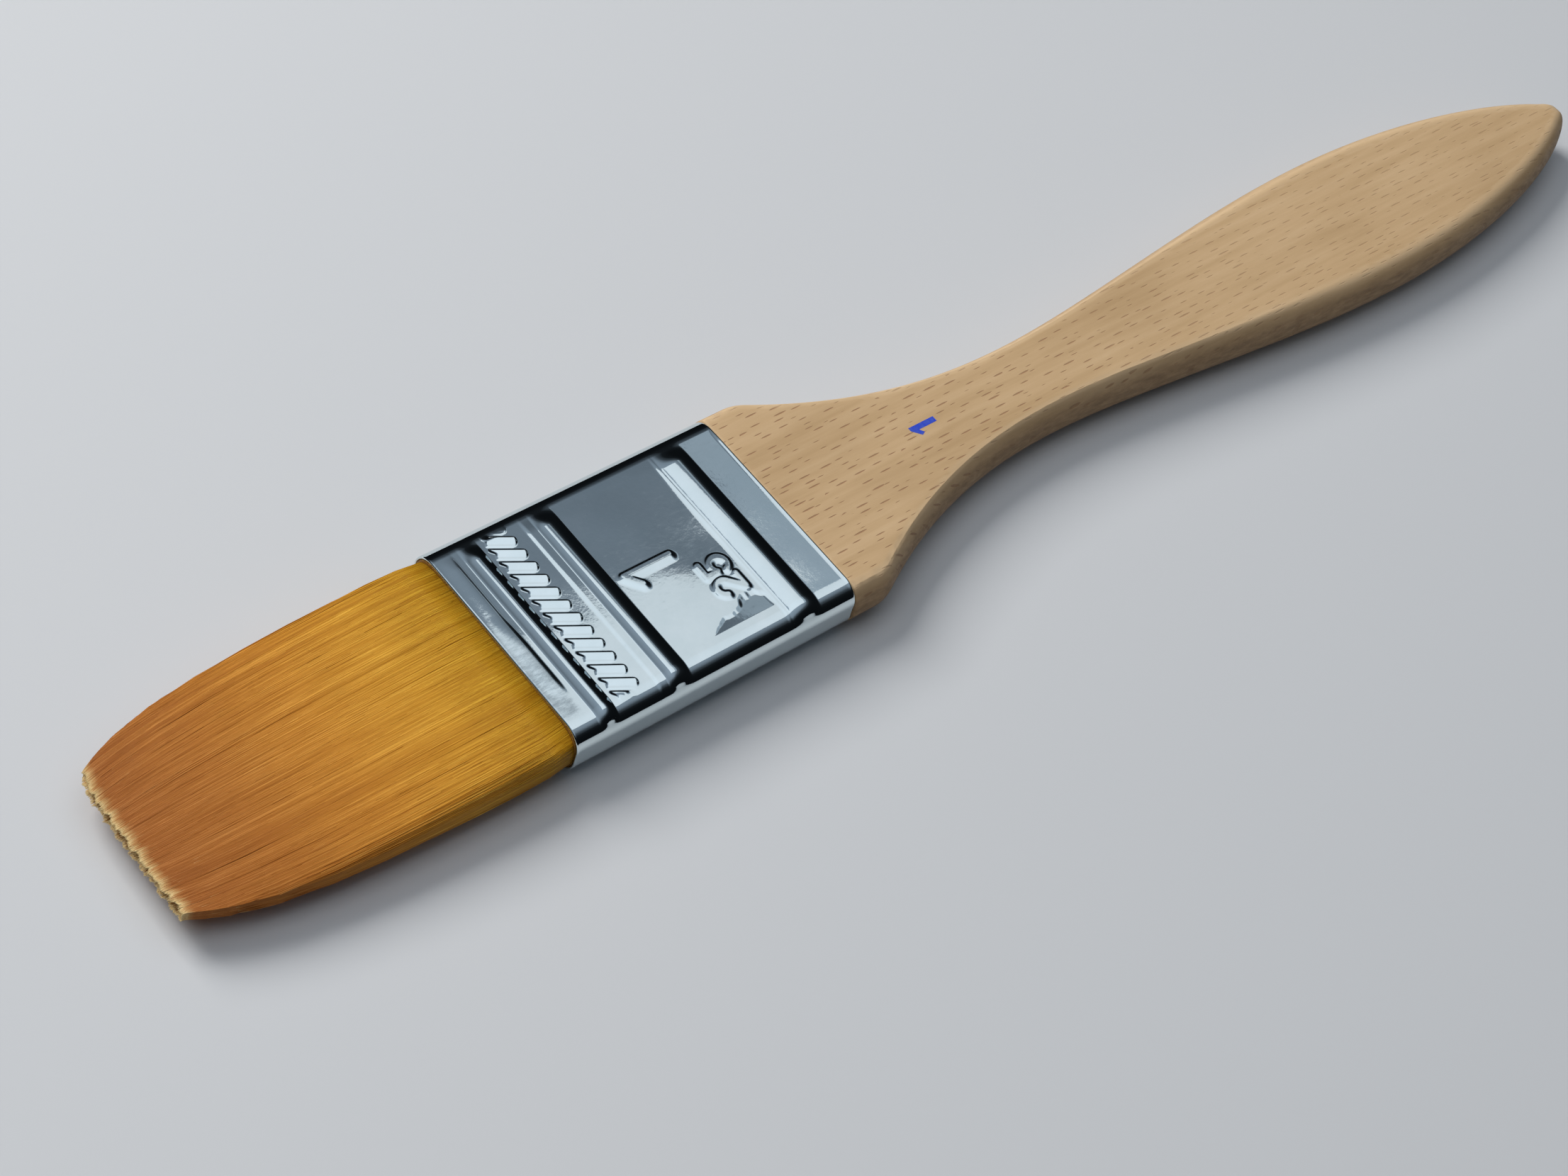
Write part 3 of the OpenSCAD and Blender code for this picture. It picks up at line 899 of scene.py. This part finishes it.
# %% [markdown]
# ## Tuft
# The filaments are synthetic: each is a fine taper, golden where it leaves the ferrule, and
# they are heat-set into a thin chisel edge. A solid core gives the mass, and a few thousand
# separate strands in several layers give the surface. Every strand keeps its own place round
# the section all the way to the tip, so the tuft thins as the strands draw together. They end
# at slightly different lengths, which makes the ragged edge.

# %% Shape of the tuft
tuft_half_width = 12.97 * MM
root_half_width = 12.67 * MM
root_half_thickness = 2.72 * MM
tip_half_thickness = 0.65 * MM
side_taper = 1.3 * MM
corner_taper = 3.2 * MM
strand_corner_share = 0.45
side_power, face_power = 0.22, 0.75
least_half_thickness = 0.06 * MM


def tuft_width_at(s, corner_share=1.0):
    """Half width of the tuft at s in front of the mouth."""
    u = np.clip(s / tuft_length, 0, 1)
    bulge = (tuft_half_width - root_half_width) * smooth_step(s / (1.6 * MM))
    return root_half_width + bulge - side_taper * u ** 2 - corner_share * corner_taper * u ** 6


def tuft_thickness_at(s):
    u = np.clip(s / tuft_length, 0, 1)
    return root_half_thickness - (root_half_thickness - tip_half_thickness) * u ** 1.5


print("tuft's thickness at the mouth and the tip in mm:",
      [round(2 * float(tuft_thickness_at(s)) / MM, 1) for s in (0, tuft_length)])

# %% Filament finish
def filament_finish(name, use_tone):
    finish, nodes, links, shader = new_finish(name, Roughness=0.42)
    shader.inputs["Specular IOR Level"].default_value = 0.22
    along = layer_value(nodes, "along")
    colour = ramp(nodes, links, along, [
        (0.0, (0.42, 0.200, 0.009)), (0.08, (0.52, 0.245, 0.010)), (0.25, (0.63, 0.287, 0.020)),
        (0.50, (0.57, 0.225, 0.019)), (0.74, (0.45, 0.154, 0.016)), (1.0, (0.37, 0.112, 0.015))])
    if use_tone:
        # The strand tone is random tone plus painted glints; at its top the colour turns pale, a
        # painted highlight.
        tone = layer_value(nodes, "strand_tone_and_glint")
        tone_and_glint_factor = ramp(nodes, links, tone, [(0.0, (0.80, 0.72, 0.60)), (0.35, (0.94, 0.91, 0.86)),
                                          (0.70, (1.10, 1.15, 1.25)), (1.0, (1.60, 2.05, 4.0))])
        colour = mix(nodes, links, 1.0, colour, tone_and_glint_factor, "MULTIPLY")
        pale = layer_value(nodes, "pale_tip")
        cut_end = ramp(nodes, links, pale, [(0.7, (0.72, 0.47, 0.18)), (1.0, (0.98, 0.78, 0.40))])
        colour = mix(nodes, links, pale, colour, cut_end)
    else:
        # The core is a little darker than the strands: painted shade for the filaments under them.
        colour = mix(nodes, links, 1.0, colour, (0.92, 0.90, 0.88), "MULTIPLY")
        end = ramp(nodes, links, along, [(0.972, 0.0), (0.980, 1.0)])
        colour = mix(nodes, links, end, colour, (0.66, 0.43, 0.17))
    links.new(colour, shader.inputs["Base Color"])
    return finish


filament = filament_finish("filament", True)
filament_core_finish = filament_finish("filament_core", False)
print("filament has", len(filament.node_tree.nodes), "nodes")

# %% Places on the tuft's section
def section_place(turn, s, depth):
    """Point (y, z) on the tuft's rounded section for a fraction of the way round it."""
    width = tuft_width_at(s, strand_corner_share) - depth
    height = np.maximum(tuft_thickness_at(s) - depth, least_half_thickness)
    angle = turn * 2 * math.pi
    side = np.cos(angle)
    up = np.sin(angle)
    y = width * np.sign(side) * np.abs(side) ** side_power
    z = height * np.sign(up) * np.abs(up) ** face_power
    return y, z


def tip_rounding(y):
    """How far the tip draws back at y, more at its far corner than at its near one."""
    share = np.abs(y) / tuft_width_at(tuft_length)
    return np.where(y > 0, 0.7, 0.1) * MM * share ** 5


# %% Core of the tuft
core_inset = 0.15 * MM
core_length = tuft_length - 0.7 * MM


def build_core():
    places = np.linspace(0, core_length, 90)
    turn = np.arccos(np.sin(np.linspace(-90, 90, 41) * math.pi / 180) ** 9) / (2 * math.pi)
    turn = np.concatenate([turn, -turn[::-1][1:-1]])
    rings = []
    for s in places:
        y, z = section_place(turn, s, core_inset)
        limit = tuft_width_at(s) - core_inset
        y = np.clip(y, -limit, limit)
        x = mouth_x - s + tip_rounding(y) * smooth_step(s / tuft_length * 3 - 2)
        rings.append(np.column_stack([x, y, z]))
    points = np.array(rings)
    points[:, :, 2] += middle_z
    faces = skin_faces(*points.shape[:2])
    piece = make_piece("filament_core", points, faces, filament_core_finish)
    along = np.repeat(places / tuft_length, points.shape[1])
    point_values(piece, "along", along)
    return piece


core = build_core()

# %% [markdown]
# A strand is a thin three-sided tube. Its place round the section is a fraction of the whole
# way round, and its depth says how far under the surface it lies. A slow sideways wander lets
# neighbours cross at a very small angle, as combed filaments do.

# %% Strands
rng = np.random.default_rng(7)
tooth_count = 95
stripe_count = 90
longest_past_tip = 0.65 * MM


def spread_round(count):
    """Places round the section, most of them on the two wide faces."""
    wide = int(count * 0.84)
    across = rng.uniform(-1, 1, wide)
    angle = np.arccos(np.sign(across) * np.abs(across) ** (1 / side_power))
    angle = np.where(rng.random(wide) < 0.62, angle, -angle)
    narrow = rng.uniform(-0.9, 0.9, count - wide)
    side = np.arcsin(np.sign(narrow) * np.abs(narrow) ** (1 / face_power))
    side = np.where(rng.random(count - wide) < 0.5, side, math.pi - side)
    return np.concatenate([angle, side]) / (2 * math.pi)


def strand_ends(turn, count):
    """Length of each strand: neighbours cling together, so the tip ends in small teeth."""
    tip_y = section_place(turn, tuft_length, 0)[0]
    place = tip_y / tuft_half_width + 0.37 * (turn < 0)
    teeth = np.interp(place, np.linspace(-1, 1.4, tooth_count), rng.uniform(0, 0.45, tooth_count))
    ragged = (teeth + np.abs(rng.normal(0, 0.20, count))) * MM
    short = rng.random(count) < 0.02
    ragged = np.where(short, rng.uniform(1, 5, count) * MM, ragged)
    return tuft_length + longest_past_tip - tip_rounding(tip_y) - ragged


ring_shares = np.array([0, 0.07, 0.16, 0.27, 0.39, 0.52, 0.66, 0.80, 0.91, 0.955, 0.975, 0.99, 1.0])


def strand_points(count):
    turn = spread_round(count)
    inside = rng.random(count) < 0.14
    depth = np.where(inside, rng.uniform(0.1, 0.6, count), rng.uniform(0, 0.035, count)) * MM
    radius = rng.uniform(0.042, 0.058, count) * MM
    end = strand_ends(turn, count)
    wander = rng.normal(0, 0.07, (count, 2)) * MM
    phase = rng.uniform(0, 2 * math.pi, (count, 2))
    s = ring_shares[None, :] * end[:, None]
    sway = wander[:, :1] * np.sin(phase[:, :1] + 3.0 * s / tuft_length)
    sway = sway + 0.5 * wander[:, 1:] * np.sin(phase[:, 1:] + 7.0 * s / tuft_length)
    y, z = section_place(turn[:, None], s, depth[:, None] + radius[:, None])
    y = y + sway * smooth_step(s / (8 * MM))
    limit = tuft_width_at(s) - radius[:, None]
    over = np.abs(y) > limit
    y = np.where(over, np.sign(y) * limit, y)
    taper = 1 - 0.6 * np.clip((ring_shares - 0.985) / 0.015, 0, 1)
    return turn, s, y, z, radius[:, None] * taper


def strand_tones_and_glints(turn, count):
    """Tone along each strand, with painted glints: neighbours share a broad stripe, and short pale
    glints, a painted highlight, stand out.
    """
    stripes = rng.normal(0, 1, stripe_count)
    place = np.cos(turn * 2 * math.pi) * 0.5 + 0.5
    broad = np.interp(place, np.linspace(0, 1, stripe_count), stripes)
    own = 0.48 + 0.12 * broad + rng.normal(0, 0.20, count)
    # Short pale glints along some strands are a painted highlight.
    painted_glint = rng.random((count, len(ring_shares))) < 0.09
    return np.clip(own[:, None] + rng.normal(0, 0.05, painted_glint.shape) + 0.5 * painted_glint, 0, 1)


def build_strands(name, count):
    ring_count, sides = len(ring_shares), 3
    turn, s, y, z, radius = strand_points(count)
    angles = np.linspace(0, 2 * math.pi, sides, endpoint=False) + math.pi / 2
    points = np.empty((count, ring_count, sides, 3))
    points[..., 0] = (mouth_x + 0.1 * MM - s)[..., None]
    points[..., 1] = y[..., None] + radius[..., None] * np.cos(angles)
    points[..., 2] = z[..., None] + radius[..., None] * np.sin(angles) + middle_z
    pattern = [face[::-1] for face in skin_faces(ring_count, sides)]
    quads = np.array([face for face in pattern if len(face) == 4])
    ends = np.array([face for face in pattern if len(face) == 3])
    offsets = (np.arange(count) * ring_count * sides)[:, None, None]
    faces = (quads[None] + offsets).reshape(-1, 4).tolist()
    faces += (ends[None] + offsets).reshape(-1, 3).tolist()
    piece = make_piece(name, points, faces, filament)
    shape = points.shape[:3]
    tone = strand_tones_and_glints(turn, count)
    point_values(piece, "along", np.broadcast_to((s / tuft_length)[..., None], shape))
    point_values(piece, "strand_tone_and_glint", np.broadcast_to(tone[:, :, None], shape))
    fringe = rng.uniform(0.45, 1.2, count)[:, None] * MM
    from_tip = s[:, -1:] - s
    pale = 0.8 * smooth_step((fringe - from_tip) / (0.5 * MM)) + 0.2 * (from_tip == 0)
    point_values(piece, "pale_tip", np.broadcast_to(pale[..., None], shape))
    return piece


strands = build_strands("filament_strands", 5900)
for piece in (core, strands):
    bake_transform(piece)
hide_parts("filament_tuft")

# %% [markdown]
# ## Inside the ferrule
# The root of the filaments, the resin that they are set in and the glue round the tang keep
# their CAD shapes, because only their edges ever show. They still get finishes of their own.

# %% Finishes for the hidden pieces
def give_finish(node, finish):
    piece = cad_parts[node]
    piece.data.materials.clear()
    piece.data.materials.append(finish)


root_finish = clouded_finish("filament_ends", 0.5, (300, 9000, 9000), 2, 0.5,
                             [(0.35, (0.16, 0.07, 0.012)), (0.65, (0.46, 0.22, 0.04))])
resin_finish = clouded_finish("amber_resin", 0.12, (400, 400, 400), 3, 0.5,
                              [(0.3, (0.52, 0.34, 0.09)), (0.7, (0.66, 0.47, 0.16))])
glue_finish = clouded_finish("set_glue", 0.35, (700, 700, 700), 3, 0.5,
                             [(0.3, (0.66, 0.60, 0.45)), (0.7, (0.76, 0.71, 0.57))])
give_finish("filament_root", root_finish)
give_finish("root_resin", resin_finish)
give_finish("tang_glue", glue_finish)
print("hidden pieces have", [finish.name for finish in (root_finish, resin_finish, glue_finish)])

# %% [markdown]
# In a studio small black flags keep side lamps off polished metal, which would otherwise
# sparkle at every pressed corner. Light linking does the same here.

# %% Flags between the two side lamps and the ferrule
flagged = bpy.data.collections.new("flagged_metal")
flagged.objects.link(ferrule)
flagged.collection_objects[0].light_linking.link_state = "EXCLUDE"
for box in (side_box, front_box):
    box.light_linking.receiver_collection = flagged
